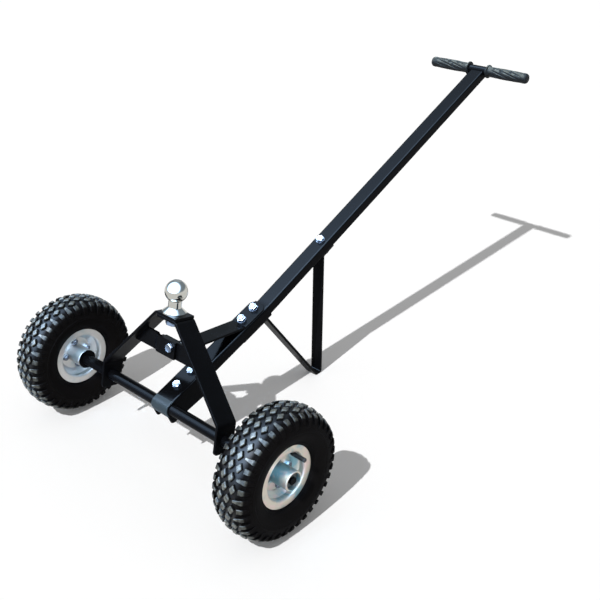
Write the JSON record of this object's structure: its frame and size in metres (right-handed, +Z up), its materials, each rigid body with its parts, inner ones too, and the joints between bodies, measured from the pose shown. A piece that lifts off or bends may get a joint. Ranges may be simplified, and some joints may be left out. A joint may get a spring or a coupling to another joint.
{
  "type": "trailer dolly",
  "caption": "Hand trailer dolly with knobbly pneumatic tyres, an A-frame carrying a hitch ball over the axle, and a long black tee handle with a folded stand",
  "frame": {"origin": "on the floor, in the middle of the overall length and width", "axes": "X from the wheels back to the tee handle, Y along the axle, Z up"},
  "size_m": [1.254, 0.738, 0.6362],
  "materials": {
    "black_paint": "gloss black enamel",
    "zinc": "bright zinc plate",
    "rim_zinc": "zinc-plated pressed steel",
    "chrome": "polished chrome",
    "bearing_steel": "dark oiled steel",
    "tyre": "matte black rubber",
    "tube_rubber": "smooth black rubber",
    "grip_rubber": "soft black moulded grip",
    "cap_plastic": "black plastic"
  },
  "bodies": {
    "frame": {"aframe_near": "black_paint", "aframe_far": "black_paint", "cross_arm_near": "black_paint", "cross_arm_far": "black_paint", "hitch_ball": "chrome", "ball_lock_washer": "zinc", "ball_nut": "zinc", "axle": "black_paint", "stop_washers": "black_paint", "retaining_washers": "bearing_steel", "cotter_pins": "bearing_steel", "axle_bracket": "black_paint", "handle_socket": "black_paint", "handle_tube": "black_paint", "tee_bar": "black_paint", "grip_near": "grip_rubber", "grip_far": "grip_rubber", "brace": "black_paint", "stand": "black_paint", "bracket_bolts": "zinc", "bracket_nuts": "zinc", "brace_bolts": "zinc", "brace_washers": "zinc", "brace_nuts": "zinc", "stand_bolt": "zinc", "stand_washer": "zinc", "stand_nut": "zinc", "cross_bolt": "zinc", "cross_nut": "zinc"},
    "wheel_near": {"tyre_near": "tyre", "inner_tube_near": "tube_rubber", "rim_outer_near": "rim_zinc", "rim_inner_near": "rim_zinc", "hub_near": "rim_zinc", "bearings_near": "bearing_steel", "rim_bolts_near": "zinc", "rim_nuts_near": "zinc", "valve_stem_near": "tube_rubber", "valve_cap_near": "cap_plastic"},
    "wheel_far": {"tyre_far": "tyre", "inner_tube_far": "tube_rubber", "rim_outer_far": "rim_zinc", "rim_inner_far": "rim_zinc", "hub_far": "rim_zinc", "bearings_far": "bearing_steel", "rim_bolts_far": "zinc", "rim_nuts_far": "zinc", "valve_stem_far": "tube_rubber", "valve_cap_far": "cap_plastic"}
  },
  "joints": [
    {"name": "wheel_near_spin", "type": "hinge", "parent": "frame", "child": "wheel_near", "pos_m": [-0.49097, -0.322, 0.136], "axis": [0, 1, 0], "continuous": true},
    {"name": "wheel_far_spin", "type": "hinge", "parent": "frame", "child": "wheel_far", "pos_m": [-0.49097, 0.322, 0.136], "axis": [0, 1, 0], "continuous": true}
  ]
}
